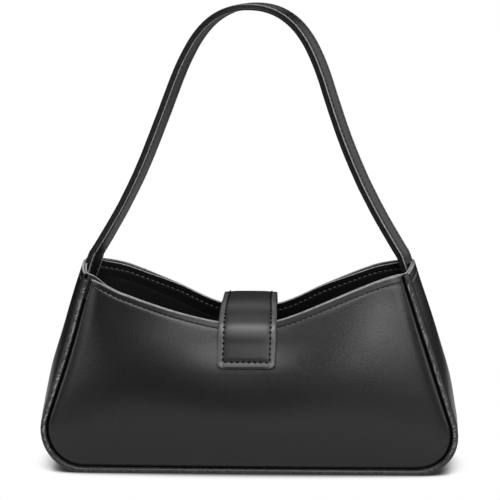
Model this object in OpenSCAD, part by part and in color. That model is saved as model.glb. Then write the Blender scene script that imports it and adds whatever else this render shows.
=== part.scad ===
// Baguette bag in smooth black leather: two puffed panels, one gusset strip
// that runs down both sides and under the base, a shoulder strap sewn inside
// the gusset tops, and a closure tab over the mouth. Front faces -Y, +Z is up,
// the origin is on the floor under the middle of the base.

/* [Body] */
// Width over the lower corners
body_w = 266; // [230:1:300]
// Height of the mouth's corners above the floor
body_h = 129; // [110:1:150]
// Depth over both seams at the base
base_d = 66; // [54:1:80]
// Depth over both seams at the mouth's corners
mouth_d = 50; // [42:1:60]
// Radius of the lower corners
corner_r = 28; // [18:1:36]
// Lean of the sides away from the vertical, in degrees
side_lean = 18; // [8:1:22]
// How far the mouth's edge dips at the middle
mouth_dip = 31; // [15:1:38]
// How far each panel swells beyond its seam
panel_puff = 9; // [4:0.5:13]
// How far the mouth's edge bows out at the middle
mouth_puff = 2.5; // [1:0.5:5]
// How far the gusset bows out at the sides
gusset_puff = 5.5; // [3:0.5:9]
// How far the gusset's top edge arches up between its corners
gusset_rise = 3; // [1:0.5:5]

/* [Leather] */
// Thickness of the front and back panels
panel_t = 1.6; // [1.2:0.1:2.2]
// Thickness of the gusset
gusset_t = 1.6; // [1.2:0.1:2.2]
// Thickness of the facings round the mouth
facing_t = 1.2; // [0.8:0.1:1.6]
// Height of the facings
facing_h = 16; // [12:1:24]
// Thickness of the lining
lining_t = 0.6; // [0.5:0.1:1]
// Gap that the loose lining keeps from the gusset and the base board
lining_slack = 0.5; // [0.3:0.1:0.9]
// How far the lining laps over the facings
lining_lap = 4; // [2:1:8]
// Thickness of the panel stiffeners
stiffener_t = 1.2; // [1:0.1:1.8]
// Thickness of the base board
board_t = 2; // [1.5:0.1:3]

/* [Seams] */
// Width of the raised edge along each seam
welt_w = 3.5; // [2.5:0.1:5]
// Thickness of the raised edge
welt_t = 3; // [2.4:0.1:4]

/* [Strap] */
// Width of the strap
strap_w = 16; // [12:0.5:19]
// Thickness of the strap's outer leather
strap_outer_t = 1.5; // [1:0.1:2]
// Thickness of the strap's core
strap_core_t = 0.6; // [0.4:0.1:1]
// Thickness of the strap's inner leather
strap_lining_t = 1.3; // [1:0.1:2]
// Height of the strap's crown above the mouth's corners
strap_drop = 166; // [140:1:200]
// Distance of each shoulder of the arch from the middle
strap_shoulder_x = 49; // [38:0.5:56]
// Height of each shoulder below the crown
strap_shoulder_z = 50; // [40:1:60]
// How far the strap's faces turn towards the front, in degrees
strap_turn = 16.5; // [0:0.5:22]
// Height over the mouth's corners at which the strap folds
strap_fold_z = 9; // [8:0.5:14]
// Length of each end that is sewn inside the gusset
strap_tail = 24; // [16:1:30]

/* [Closure tab] */
// Width of the tab where it crosses the mouth
tab_top_w = 35; // [28:0.5:42]
// Width of the tab at its tip
tab_tip_w = 37; // [28:0.5:44]
// Radius of the tip's corners
tab_corner_r = 3; // [1:0.5:6]
// Thickness of the tab's outer leather
tab_outer_t = 1.2; // [1:0.1:1.8]
// Thickness of the tab's stiffener
tab_stiffener_t = 1.1; // [1:0.1:1.6]
// Thickness of the tab's inner leather
tab_lining_t = 0.8; // [0.6:0.1:1.4]
// Length of the handles that shape the tab's arch over the mouth
tab_arch = 9; // [7:0.5:16]
// How far the tab hangs below the mouth's edge in front
tab_drop_len = 28; // [26:1:44]
// How far below the mouth's edge the tab bends at the back
tab_hinge_z = 5; // [4:0.5:8]
// Length of the part of the tab that is sewn to the back panel
tab_back_len = 36; // [24:1:50]

/* [Magnets] */
// Diameter of each hidden magnet
magnet_d = 12; // [10:0.5:14]
// Thickness of each hidden magnet
magnet_t = 0.8; // [0.6:0.1:0.9]
// Distance from each magnet's edge to the tab's tip
magnet_edge = 2.5; // [2:0.5:6]

/* [Clearances] */
// Gap between sheets that lie on each other
ply_gap = 0.2; // [0.1:0.05:0.3]
// Gap between the layers of the strap and of the tab
glue_gap = 0.1; // [0.05:0.05:0.2]
// Gap between the tab and the panels it lies on
tab_gap = 0.6; // [0.4:0.1:1]
// Gap between a panel or the gusset and the raised seam edges
seam_gap = 0.1; // [0.1:0.05:0.3]

/* [Hidden] */

// Steps along the lower corner's arc and the leaning side, across a panel,
// down a facing and across the gusset
arc_steps = 6;
side_steps = 6;
panel_steps = 20;
band_steps = 3;
gusset_steps = 8;

// Where the lower corner's arc has its centre and where it meets the side
arc_x = body_w / 2 - corner_r;
lean_dir = [-sin(side_lean), cos(side_lean)];
lean_out = [cos(side_lean), sin(side_lean)];
function side_foot(inset) = [arc_x, corner_r] + (corner_r - inset) * lean_out;
// Half width of the outline, drawn in by inset, at height z
function outline_x(z, inset) =
    let (r = corner_r - inset, foot = side_foot(inset))
    z < foot.y
        ? arc_x + sqrt(max(0, r * r - pow(corner_r - z, 2)))
        : foot.x - (z - foot.y) * tan(side_lean);
// Right half of the outline from the base up to height top_z
function half_outline(inset, top_z) =
    let (foot = side_foot(inset), rise = (top_z - foot.y) / cos(side_lean))
    concat(
        [for (i = [0:arc_steps])
            let (a = -90 + (90 + side_lean) * i / arc_steps)
            [arc_x, corner_r] + (corner_r - inset) * [cos(a), sin(a)]],
        [for (i = [1:side_steps]) foot + rise * i / side_steps * lean_dir]);

function smooth(t) = let (c = max(0, min(1, t))) c * c * (3 - 2 * c);

// The mouth's edge falls from the corners to the middle, part of the way as a
// soft step and the rest as a plain curve
mouth_x = outline_x(body_h, welt_w);
rim_step = 0.7;
function rim_z(x) =
    let (t = min(1, abs(x) / mouth_x))
    body_h - mouth_dip * (1 - rim_step * smooth(t) - (1 - rim_step) * t * t);

// Half depth at the seams, and how far the panel's face stands out from them:
// flat across the middle, and fullest below half its height
puff_flatness = 3;
puff_low = 0.75;
function half_depth(z) = base_d / 2 - (base_d - mouth_d) / 2 * z / body_h;
function puff(x, z) =
    let (u = min(1, abs(x) / outline_x(z, welt_w)),
        f = max(0, min(1, (z - welt_w) / (rim_z(x) - welt_w))))
    (1 - pow(u, puff_flatness))
        * (panel_puff * sin(180 * pow(f, puff_low)) + mouth_puff * f);
function face_depth(x, z) = half_depth(z) + puff(x, z);

// Closed solid between two grids of points with the same rows and columns
function grid_faces(rows, cols, base, flip) =
    [for (j = [0:rows - 2]) for (i = [0:cols - 2])
        let (a = base + j * cols + i, b = a + 1, c = a + cols, d = c + 1)
        each (flip ? [[a, b, c], [b, d, c]] : [[a, c, b], [b, c, d]])];
function rim_loop(rows, cols) = concat(
    [for (i = [0:cols - 2]) i],
    [for (j = [0:rows - 2]) j * cols + cols - 1],
    [for (i = [cols - 1:-1:1]) (rows - 1) * cols + i],
    [for (j = [rows - 1:-1:1]) j * cols]);
module sheet_between(near, far) {
    rows = len(near);
    cols = len(near[0]);
    loop = rim_loop(rows, cols);
    n = len(loop);
    half = rows * cols;
    points = concat([for (row = near) each row], [for (row = far) each row]);
    edges = [for (i = [0:n - 1])
        let (a = loop[i], b = loop[(i + 1) % n])
        each [[a, b, b + half], [a, b + half, a + half]]];
    polyhedron(points, concat(
        grid_faces(rows, cols, 0, false), grid_faces(rows, cols, half, true), edges));
}

// One layer of a panel. spans holds rows of [x, z] points
module panel_layer(side, spans, from, to) {
    near = [for (row = spans) [for (p = row)
        [p.x, side * (face_depth(p.x, p.y) - from), p.y]]];
    far = [for (row = spans) [for (p = row)
        [p.x, side * (face_depth(p.x, p.y) - to), p.y]]];
    if (side < 0) sheet_between(near, far);
    else sheet_between(far, near);
}
// Rows over the whole panel, drawn in by inset, whose top is drop below the rim
function panel_rows(inset, drop) =
    let (ends = half_outline(inset, body_h), top_x = outline_x(body_h, inset))
    [for (e = ends) [for (i = [0:panel_steps])
        let (u = 2 * i / panel_steps - 1,
            f = (e.y - inset) / (body_h - inset))
        [u * e.x, inset + f * (rim_z(u * top_x) - drop - inset)]]];
// Rows over a band along the rim, margin short of the panel's side edges
function band_rows(margin, height) =
    [for (j = [0:band_steps]) [for (i = [0:panel_steps])
        let (x_top = (2 * i / panel_steps - 1) * (mouth_x - margin))
        [x_top, rim_z(x_top) - height * (1 - j / band_steps)]]];

// The facing and the stiffener lie behind the panel, and the lining behind both
panel_inset = welt_w + seam_gap;
backing_from = panel_t + ply_gap;
lining_from = backing_from + max(stiffener_t, facing_t) + ply_gap;
lining_inset = gusset_t + lining_slack + board_t + lining_t + 2 * ply_gap;
stiffener_drop = facing_h + 2 * ply_gap;
stiffener_inset = panel_inset + 1;

module panel(side) { panel_layer(side, panel_rows(panel_inset, 0), 0, panel_t); }
module facing(side) {
    panel_layer(side, band_rows(gusset_t + facing_t, facing_h),
        backing_from, backing_from + facing_t);
}
module stiffener(side) {
    panel_layer(side, panel_rows(stiffener_inset, stiffener_drop),
        backing_from, backing_from + stiffener_t);
}
module lining(side) {
    panel_layer(side, panel_rows(lining_inset, facing_h - lining_lap),
        lining_from, lining_from + lining_t);
}

module front_panel() { color("#232325") panel(-1); }
module back_panel() { color("#232325") panel(1); }
module back_facing() { color("#1a1a1c") facing(1); }
module back_stiffener() { color("#8b8478") stiffener(1); }
module front_lining() { color("#111113") lining(-1); }
module back_lining() { color("#111113") lining(1); }
// Both layers behind the front panel leave a round hole for the magnet
hole_depth = 8;
module front_facing() { color("#1a1a1c") magnet_hole() facing(-1); }
module front_stiffener() { color("#8b8478") magnet_hole() stiffener(-1); }
module magnet_hole() {
    difference() {
        children();
        panel_magnet_place()
            cylinder(d = magnet_d + 2 * ply_gap, h = hole_depth, center = true, $fn = 32);
    }
}

// Path round the whole outline, with the outward direction at each point
function full_outline(top_z) =
    let (right = half_outline(0, top_z))
    concat([for (i = [len(right) - 1:-1:0]) [-right[i].x, right[i].y]], right);
function out_dir(p) =
    let (foot = side_foot(0), s = sign(p.x))
    p.y > foot.y ? [s * lean_out.x, lean_out.y]
        : let (d = [abs(p.x) - arc_x, p.y - corner_r])
        [s * d.x / norm(d), d.y / norm(d)];
// How far the gusset bows out, growing from nothing at the lower corner
gusset_swell = 50;
function bow(z) = gusset_puff * smooth((z - corner_r) / gusset_swell);
// Point of the gusset at path point p, t from -1 to 1 across, depth below its face
function gusset_point(p, t, depth, half_w, rise) =
    let (q = p + out_dir(p) * (bow(p.y) * (1 - t * t) - depth)
            + [sign(p.x) * lean_dir.x, lean_dir.y] * rise * (1 - t * t))
    [q.x, t * half_w, q.y];
module gusset_layer(path, from, to, margin, steps, top_rise) {
    last = len(path) - 1;
    near = [for (i = [0:last]) [for (k = [0:steps])
        gusset_point(path[i], 2 * k / steps - 1, from[i],
            half_depth(path[i].y) - margin, i == 0 || i == last ? top_rise : 0)]];
    far = [for (i = [0:last]) [for (k = [0:steps])
        gusset_point(path[i], 2 * k / steps - 1, to[i],
            half_depth(path[i].y) - margin, i == 0 || i == last ? top_rise : 0)]];
    sheet_between(near, far);
}
// The gusset ends short of the seam edges, the gusset's lining and the side
// facings a little shorter
gusset_margin = welt_t + ply_gap + seam_gap;
gusset_lining_margin = gusset_margin + 1;
side_facing_margin = gusset_margin + 1.5;
module gusset() {
    path = full_outline(body_h);
    color("#202022") gusset_layer(path, [for (p = path) 0], [for (p = path) gusset_t],
        gusset_margin, gusset_steps, gusset_rise);
}
// Under the base board the lining is lifted, and it lies on the gusset at the sides
lining_top = body_h - facing_h - 2 * ply_gap;
function lining_depth(z) =
    gusset_t + lining_slack + board_t * (1 - smooth(z / (2 * corner_r)));
module gusset_lining() {
    path = full_outline(lining_top);
    color("#111113") gusset_layer(path,
        [for (p = path) lining_depth(p.y)], [for (p = path) lining_depth(p.y) + lining_t],
        gusset_lining_margin, gusset_steps / 2, 0);
}
board_margin = 3;
module base_board() {
    w = 2 * (arc_x - board_margin);
    d = 2 * (half_depth(0) - gusset_margin - board_margin);
    color("#9a8f7c") translate([0, 0, gusset_t + ply_gap])
        linear_extrude(board_t) round_plate(w, d, board_margin);
}
// Plate with round corners, made of two bars and four discs
module round_plate(w, d, r) {
    square([w - 2 * r, d], center = true);
    square([w, d - 2 * r], center = true);
    for (x = [-1, 1], y = [-1, 1])
        translate([x * (w / 2 - r), y * (d / 2 - r)]) circle(r, $fn = 32);
}

// Inner facing at the top of one gusset end
side_facing_depth = gusset_t + ply_gap;
module side_facing(side) {
    foot_z = body_h - facing_h;
    path = [for (z = [foot_z, (foot_z + body_h) / 2, body_h]) [side * outline_x(z, 0), z]];
    rows = [for (j = [0:2]) [for (k = [0:gusset_steps])
        gusset_point(path[j], 2 * k / gusset_steps - 1, side_facing_depth,
            half_depth(path[j].y) - side_facing_margin, j == 2 ? gusset_rise : 0)]];
    inner = [for (j = [0:2]) [for (k = [0:gusset_steps])
        gusset_point(path[j], 2 * k / gusset_steps - 1, side_facing_depth + facing_t,
            half_depth(path[j].y) - side_facing_margin, j == 2 ? gusset_rise : 0)]];
    if (side < 0) sheet_between(inner, rows);
    else sheet_between(rows, inner);
}
module left_facing() { color("#1a1a1c") side_facing(-1); }
module right_facing() { color("#1a1a1c") side_facing(1); }

// Raised seam edge: a flat band round the outline, cut level with the mouth
module welt(side) {
    outer = full_outline(body_h);
    count = len(outer);
    inner_right = half_outline(welt_w, body_h);
    inner = concat([for (i = [len(inner_right) - 1:-1:0]) [-inner_right[i].x, inner_right[i].y]],
        inner_right);
    near = [for (i = [0:count - 1]) [for (p = [outer[i], inner[i]])
        [p.x, side * half_depth(p.y), p.y]]];
    far = [for (i = [0:count - 1]) [for (p = [outer[i], inner[i]])
        [p.x, side * (half_depth(p.y) - welt_t), p.y]]];
    if (side < 0) sheet_between(far, near);
    else sheet_between(near, far);
}
module front_welt() { color("#2c2c2f") welt(-1); }
module back_welt() { color("#2c2c2f") welt(1); }

// The strap's sewn end lies inside the side facing, at its middle
strap_t = strap_outer_t + strap_core_t + strap_lining_t + 2 * glue_gap;
tail_depth = side_facing_depth + facing_t + ply_gap
    + gusset_puff * pow(strap_w / 2 / (half_depth(body_h) - gusset_margin), 2);
fold_x = outline_x(body_h, 0) + lean_out.x * (gusset_puff - tail_depth - strap_t / 2)
    + lean_dir.x * strap_fold_z;
fold_z = body_h + lean_out.y * (gusset_puff - tail_depth - strap_t / 2)
    + lean_dir.y * strap_fold_z;
// The half-round end of the leaning strap turns clear of the sewn end's top
tail_top = strap_w / 2 / cos(side_lean) + 0.3;
module strap_end(side) {
    translate([side * fold_x, 0, fold_z]) rotate([0, -side * side_lean, 0])
        translate([0, 0, -tail_top - strap_tail / 2])
        cube([strap_t, strap_w, strap_tail], center = true);
}
module left_strap_end() { color("#262628") strap_end(-1); }
module right_strap_end() { color("#262628") strap_end(1); }

// Centre line of the strap's right half, from the fold up to the crown
crown_z = body_h + strap_drop;
shoulder = [strap_shoulder_x, crown_z - strap_shoulder_z];
// Lean of the strap at its shoulders and at its folds, and the lengths of the
// handles that shape its limbs and its crown
shoulder_lean = 19;
fold_lean = 32;
low_handle = 47;
high_handle = 28;
shoulder_dir = [-sin(shoulder_lean), cos(shoulder_lean)];
fold_dir = [-sin(fold_lean), cos(fold_lean)];
function bezier(a, b, c, d, t) =
    pow(1 - t, 3) * a + 3 * t * pow(1 - t, 2) * b + 3 * t * t * (1 - t) * c + pow(t, 3) * d;
limb_steps = 14;
crown_steps = 10;
end_steps = 5;
// The half-round ends stop short of a point
end_sweep = 75;
half_line = let (foot = [fold_x, fold_z], top = [0, crown_z])
    concat(
        [for (i = [end_steps:-1:1])
            foot - strap_w / 2 * sin(end_sweep * i / end_steps) * lean_dir],
        [for (i = [0:limb_steps]) bezier(foot, foot + low_handle * fold_dir,
            shoulder - low_handle * shoulder_dir, shoulder, i / limb_steps)],
        [for (i = [1:crown_steps]) bezier(shoulder, shoulder + high_handle * shoulder_dir,
            top + [high_handle, 0], top, i / crown_steps)]);
strap_line = concat(half_line,
    [for (i = [len(half_line) - 2:-1:0]) [-half_line[i].x, half_line[i].y]]);
// Half width at each point: the ends are half round about the fold's axis
last_point = len(strap_line) - 1;
function half_width(i) =
    let (k = end_steps - min(i, last_point - i))
    strap_w / 2 * (k > 0 ? cos(end_sweep * k / end_steps) : 1);
// The strap's faces turn over a short rise above the fold
face_turn_rise = 10;
function ramp(z, rise) = smooth((z - fold_z) / rise);
centres = [for (p = strap_line) [p.x, 0, p.y]];
function unit(v) = v / norm(v);
function tangent(i) =
    unit(centres[min(i + 1, len(centres) - 1)] - centres[max(i - 1, 0)]);
function width_dir(i) =
    let (a = -strap_turn * ramp(strap_line[i].y, face_turn_rise),
        w = [-sin(a), cos(a), 0], t = tangent(i))
    unit(w - (w * t) * t);
// One layer of the strap, between two distances from its middle surface
function strap_rows(out) = [for (i = [0:last_point])
    let (w = width_dir(i) * half_width(i), n = cross(width_dir(i), tangent(i)))
    [centres[i] - w + n * out, centres[i] + w + n * out]];
module strap_layer(from, to) { sheet_between(strap_rows(to), strap_rows(from)); }
strap_in = -strap_t / 2;
strap_out = strap_t / 2;
core_from = strap_in + strap_lining_t + glue_gap;
module strap_lining() { color("#262628") strap_layer(strap_in, strap_in + strap_lining_t); }
module strap_core() { color("#4a4540") strap_layer(core_from, core_from + strap_core_t); }
module strap_outer() { color("#262628") strap_layer(strap_out - strap_outer_t, strap_out); }

// The tab's inner face: up the back panel, over the mouth, down the front panel
tab_t = tab_outer_t + tab_stiffener_t + tab_lining_t + 2 * glue_gap;
tab_steps = 6;
arch_steps = 16;
mid_z = rim_z(0);
tip_z = mid_z - tab_drop_len;
// The tab clears the panels over its whole width, and arches from above their edges
function tab_face(z) =
    max(face_depth(0, z), face_depth(tab_tip_w / 2, z)) + tab_gap;
arch_z = rim_z(tab_tip_w / 2) + ply_gap;
function up_line(from_z, to_z) =
    [for (i = [0:tab_steps]) let (z = from_z + (to_z - from_z) * i / tab_steps)
        [tab_face(z), z]];
tab_line = let (back = [tab_face(arch_z), arch_z], front = [-back.x, arch_z],
        below = mid_z - tab_hinge_z,
        arch_dir = unit([tab_face(below) - tab_face(mid_z), tab_hinge_z]))
    concat(
        up_line(below, arch_z - 1),
        [for (i = [0:arch_steps]) bezier(back, back + tab_arch * [-arch_dir.x, arch_dir.y],
            front + tab_arch * arch_dir, front, i / arch_steps)],
        [for (p = up_line(arch_z - 1, tip_z)) [-p.x, p.y]]);
function line_normal(line, i) =
    let (d = unit(line[min(i + 1, len(line) - 1)] - line[max(i - 1, 0)])) [d.y, -d.x];
// Outline of a strip between two distances from a line
function strip(line, from, to) = concat(
    [for (i = [0:len(line) - 1]) line[i] + from * line_normal(line, i)],
    [for (i = [len(line) - 1:-1:0]) line[i] + to * line_normal(line, i)]);
// The tab folds about its outer corner at the back
hinge = tab_line[0] + tab_t * line_normal(tab_line, 0);
module across(points, w) {
    rotate([90, 0, 90]) linear_extrude(w, center = true) polygon(points);
}
// Front outline of the tab, which widens towards its tip
tab_crest = body_h + strap_drop;
module tab_outline(margin) {
    tip = tip_z + margin;
    taper = (tab_tip_w - tab_top_w) / 2 / (mid_z - tip_z);
    half_tip = tab_tip_w / 2 - margin;
    half_top = half_tip - taper * (tab_crest - tip_z);
    rotate([90, 0, 0]) linear_extrude(2 * base_d, center = true) {
        polygon([[-half_tip, tip + tab_corner_r], [half_tip, tip + tab_corner_r],
            [half_top, tab_crest], [-half_top, tab_crest]]);
        translate([0, tip + tab_corner_r / 2])
            square([2 * (half_tip - tab_corner_r), tab_corner_r], center = true);
        for (s = [-1, 1]) translate([s * (half_tip - tab_corner_r), tip + tab_corner_r])
            circle(tab_corner_r, $fn = 32);
    }
}
module tab_layer(from, to, margin) {
    intersection() {
        across(strip(tab_line, from, to), tab_tip_w + 2);
        tab_outline(margin);
    }
}
magnet_z = tip_z + magnet_edge + magnet_d / 2;
slope_span = 3;
magnet_slope = atan2(
    tab_face(magnet_z - slope_span) - tab_face(magnet_z + slope_span), 2 * slope_span);
// Places a disc on the front panel or the tab, deep behind the tab's inner face
module at_magnet(deep) {
    translate([0, -tab_face(magnet_z), magnet_z]) rotate([90 - magnet_slope, 0, 0])
        translate([0, 0, deep]) children();
}
module panel_magnet_place() {
    at_magnet(-tab_gap - backing_from - stiffener_t / 2) children();
}
module magnet() { cylinder(d = magnet_d, h = magnet_t, center = true, $fn = 48); }
module panel_magnet() { color("#9b9ea3") panel_magnet_place() magnet(); }
module tab_magnet_place() {
    at_magnet(tab_stiffener_from + tab_stiffener_t / 2) children();
}
module tab_magnet() { color("#9b9ea3") tab_magnet_place() magnet(); }
module tab_lining() { color("#1e1e20") tab_layer(0, tab_lining_t, 0); }
tab_stiffener_from = tab_lining_t + glue_gap;
tab_stiffener_margin = 3;
module tab_stiffener() {
    color("#8b8478") difference() {
        tab_layer(tab_stiffener_from, tab_stiffener_from + tab_stiffener_t, tab_stiffener_margin);
        tab_magnet_place()
            cylinder(d = magnet_d + 2 * ply_gap, h = hole_depth, center = true, $fn = 32);
    }
}
module tab_outer() { color("#262628") tab_layer(tab_t - tab_outer_t, tab_t, 0); }
// The sewn part of the tab goes down the outside of the back panel
module tab_back() {
    top_z = mid_z - tab_hinge_z - ply_gap;
    line = up_line(top_z - tab_back_len, top_z);
    color("#262628") across(strip(line, 0, tab_t), tab_top_w);
}

front_panel();
back_panel();
gusset();
front_welt();
back_welt();
front_facing();
back_facing();
left_facing();
right_facing();
front_stiffener();
back_stiffener();
front_lining();
back_lining();
gusset_lining();
base_board();
panel_magnet();
tab_back();
left_strap_end();
right_strap_end();
tab_outer();
tab_stiffener();
tab_lining();
tab_magnet();
strap_outer();
strap_core();
strap_lining();
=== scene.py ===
import math

import bpy
import numpy as np
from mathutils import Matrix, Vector, noise


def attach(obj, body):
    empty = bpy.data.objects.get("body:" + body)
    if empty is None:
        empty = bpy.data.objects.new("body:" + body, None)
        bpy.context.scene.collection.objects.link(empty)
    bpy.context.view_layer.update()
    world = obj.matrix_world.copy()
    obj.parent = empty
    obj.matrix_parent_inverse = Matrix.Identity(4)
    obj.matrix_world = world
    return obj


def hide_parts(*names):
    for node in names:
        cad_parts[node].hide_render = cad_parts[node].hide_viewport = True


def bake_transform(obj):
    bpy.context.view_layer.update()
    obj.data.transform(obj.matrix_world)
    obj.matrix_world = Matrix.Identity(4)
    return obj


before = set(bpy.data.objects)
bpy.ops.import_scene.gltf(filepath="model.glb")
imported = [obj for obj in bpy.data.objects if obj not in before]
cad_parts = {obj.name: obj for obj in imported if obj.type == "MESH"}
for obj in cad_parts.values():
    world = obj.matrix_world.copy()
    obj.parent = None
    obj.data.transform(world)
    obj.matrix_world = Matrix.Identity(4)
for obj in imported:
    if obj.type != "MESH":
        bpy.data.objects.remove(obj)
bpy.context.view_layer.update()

# Sizes of the part, in mm
BODY_W, BODY_H, BASE_D, MOUTH_D = 266.0, 129.0, 66.0, 50.0
CORNER_R, LEAN, MOUTH_DIP = 28.0, math.radians(18), 31.0
PANEL_PUFF, MOUTH_PUFF, GUSSET_PUFF, GUSSET_RISE = 9.0, 2.5, 5.5, 3.0
PANEL_T, GUSSET_T, FACING_T, FACING_H, LINING_T = 1.6, 1.6, 1.2, 16.0, 0.6
STIFFENER_T, BOARD_T, PLY = 1.2, 2.0, 0.2
LINING_SLACK, LINING_LAP = 0.5, 4.0
WELT_W, WELT_T, SEAM_GAP = 3.5, 3.0, 0.1
STRAP_W, STRAP_T, STRAP_DROP, STRAP_TAIL = 16.0, 3.6, 166.0, 24.0
SHOULDER_X, SHOULDER_Z, STRAP_TURN, FOLD_RISE = 49.0, 50.0, 16.5, 9.0
TAB_TOP_W, TAB_TIP_W, TAB_T, TAB_GAP = 35.0, 37.0, 3.3, 0.6
TAB_DROP, TAB_HINGE_Z, TAB_BACK = 28.0, 5.0, 36.0
# Stitch rows: their pitch, their distance from the edge and how deep they are pressed in
STITCH, SHORT_STITCH = 3.5, 3.4
FACING_ROW, FACING_ROW_DEPTH = 4.8, 0.28
GUSSET_ROW, GUSSET_ROW_DEPTH = 5.0, 0.3
STRAP_ROW, TAB_ROW = 5.6, 3.7
# Share of the front's sag that the gusset takes
GUSSET_SAG = 0.25


# ---- Camera and room ----

CAMERA_AZIMUTH, CAMERA_ELEVATION, CAMERA_DISTANCE = 0.0372891, 0.1690992, 1.711574
CAMERA_TARGET = Vector((0.000175, 0.0, 0.139894))
SENSOR_WIDTH, FOCAL_PIXELS, PICTURE_PIXELS = 36.0, 2664.12, 500.0


def new_object(name, data):
    obj = bpy.data.objects.new(name, data)
    bpy.context.scene.collection.objects.link(obj)
    return obj


def make_camera():
    level = math.cos(CAMERA_ELEVATION)
    away = Vector((math.sin(CAMERA_AZIMUTH) * level, -math.cos(CAMERA_AZIMUTH) * level,
                   math.sin(CAMERA_ELEVATION)))
    data = bpy.data.cameras.new("camera")
    data.sensor_fit = "HORIZONTAL"
    data.sensor_width = SENSOR_WIDTH
    data.lens = FOCAL_PIXELS * SENSOR_WIDTH / PICTURE_PIXELS
    data.clip_start = 0.05
    cam = new_object("camera", data)
    cam.location = CAMERA_TARGET + away * CAMERA_DISTANCE
    cam.rotation_euler = (-away).to_track_quat("-Z", "Y").to_euler()
    bpy.context.scene.camera = cam
    bpy.context.scene.view_settings.view_transform = "Standard"


# Name, place, size and power of each softbox, and the point that they all aim at
LAMPS = [
    ("high_front", (0.0, -1.0, 1.2), (0.6, 0.4), 13),
    ("top", (0.0, 0.0, 1.5), (0.8, 0.8), 4),
    ("front", (0.0, -1.4, 0.8), (0.5, 0.4), 3.9),
    ("low_right", (0.5, -1.4, 0.4), (0.6, 0.3), 4.0),
    ("low_left", (-0.85, -1.2, 0.4), (0.4, 0.5), 1.4),
    ("side_left", (-1.3, -0.3, 0.5), (0.8, 0.8), 5),
    ("side_right", (1.2, -0.5, 0.5), (0.8, 0.8), 4),
    ("back_right", (1.0, 0.8, 0.6), (0.8, 0.8), 1.8),
    ("back", (0.0, 1.0, 1.2), (0.8, 0.8), 2.2),
]
LAMP_AIM = Vector((0.0, 0.0, 0.1))
AMBIENT, AMBIENT_TINT = 0.02, (0.9, 0.93, 1.0, 1)
FLOOR_HALF_WIDTH, FLOOR_FRONT, FLOOR_BACK = 0.6, -0.4, 0.6
# The soft shadow on the floor, its wide part and its line of contact: how far it reaches,
# the openness where it is darkest and where it ends, its darkest value and its blend
SHADOWS = [(0.031, 0.24, 0.65, 0.1, "SMOOTHSTEP"), (0.009, 0.3, 0.85, 0.3, "LINEAR")]


def set_inputs(tree, node, inputs):
    """Links each input that is given as a socket, and sets the others."""
    for key, value in inputs.items():
        socket = node.inputs[key.replace("_", " ")]
        if isinstance(value, bpy.types.NodeSocket):
            tree.links.new(value, socket)
        else:
            socket.default_value = value


def add_node(tree, kind, **inputs):
    node = tree.nodes.new("ShaderNode" + kind)
    set_inputs(tree, node, inputs)
    return node


def mix_by_camera(tree, seen, other):
    """Gives the camera's own rays seen, and all other rays the other shader."""
    mix = add_node(tree, "MixShader")
    is_camera = add_node(tree, "LightPath").outputs["Is Camera Ray"]
    for k, output in enumerate((is_camera, other.outputs[0], seen.outputs[0])):
        tree.links.new(output, mix.inputs[k])
    return mix.outputs[0]


def make_lamp(name, place, size, power):
    data = bpy.data.lights.new(name, "AREA")
    data.shape = "RECTANGLE"
    data.size, data.size_y = size
    data.energy = power
    light = new_object(name, data)
    light.location = place
    light.rotation_euler = (LAMP_AIM - Vector(place)).to_track_quat("-Z", "Y").to_euler()


def make_room():
    world = bpy.data.worlds.new("studio")
    bpy.context.scene.world = world
    world.use_nodes = True
    tree = world.node_tree
    tree.nodes.clear()
    seen = add_node(tree, "Background", Color=(1, 1, 1, 1), Strength=1.0)
    lit = add_node(tree, "Background", Color=AMBIENT_TINT, Strength=AMBIENT)
    add_node(tree, "OutputWorld", Surface=mix_by_camera(tree, seen, lit))

    mesh = bpy.data.meshes.new("floor")
    w = FLOOR_HALF_WIDTH
    mesh.from_pydata([(-w, FLOOR_FRONT, 0), (w, FLOOR_FRONT, 0), (w, FLOOR_BACK, 0),
                      (-w, FLOOR_BACK, 0)], [], [(0, 1, 2, 3)])
    floor = new_object("floor", mesh)
    mesh.materials.append(floor_material())
    for lamp in LAMPS:
        make_lamp(*lamp)


def floor_material():
    """Matt pale floor, white to the camera but for the soft shadow close to what it holds."""
    mat = bpy.data.materials.new("floor_white")
    mat.use_nodes = True
    tree = mat.node_tree
    tree.nodes.clear()
    both = add_node(tree, "Math")
    both.operation = "MULTIPLY"
    for k, (reach, low, high, darkest, blend) in enumerate(SHADOWS):
        near = add_node(tree, "AmbientOcclusion", Distance=reach)
        near.samples = 16
        share = add_node(tree, "MapRange", From_Min=low, From_Max=high, To_Min=darkest,
                         Value=near.outputs["AO"])
        share.interpolation_type = blend
        tree.links.new(share.outputs["Result"], both.inputs[k])
    glow = add_node(tree, "Emission", Strength=both.outputs[0])
    pale = add_node(tree, "BsdfDiffuse", Color=(0.7, 0.7, 0.7, 1))
    add_node(tree, "OutputMaterial", Surface=mix_by_camera(tree, glow, pale))
    return mat


# ---- Materials ----

def new_surface(name):
    """A new material, its node tree and its object coordinates."""
    mat = bpy.data.materials.new(name)
    mat.use_nodes = True
    return mat, mat.node_tree, add_node(mat.node_tree, "TexCoord").outputs["Object"]


def noise_value(tree, coords, scale, detail=2.0, rough=0.5):
    return add_node(tree, "TexNoise", Vector=coords, Scale=scale, Detail=detail,
                    Roughness=rough).outputs["Fac"]


def ranged(tree, value, low, high, to_low, to_high):
    return add_node(tree, "MapRange", Value=value, From_Min=low, From_Max=high, To_Min=to_low,
                    To_Max=to_high).outputs["Result"]


def two_tone(tree, share, dark, light):
    mix = tree.nodes.new("ShaderNodeMix")
    mix.data_type = "RGBA"
    set_inputs(tree, mix, {"A": (*dark, 1), "B": (*light, 1), "Factor": share})
    return mix.outputs["Result"]


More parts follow.
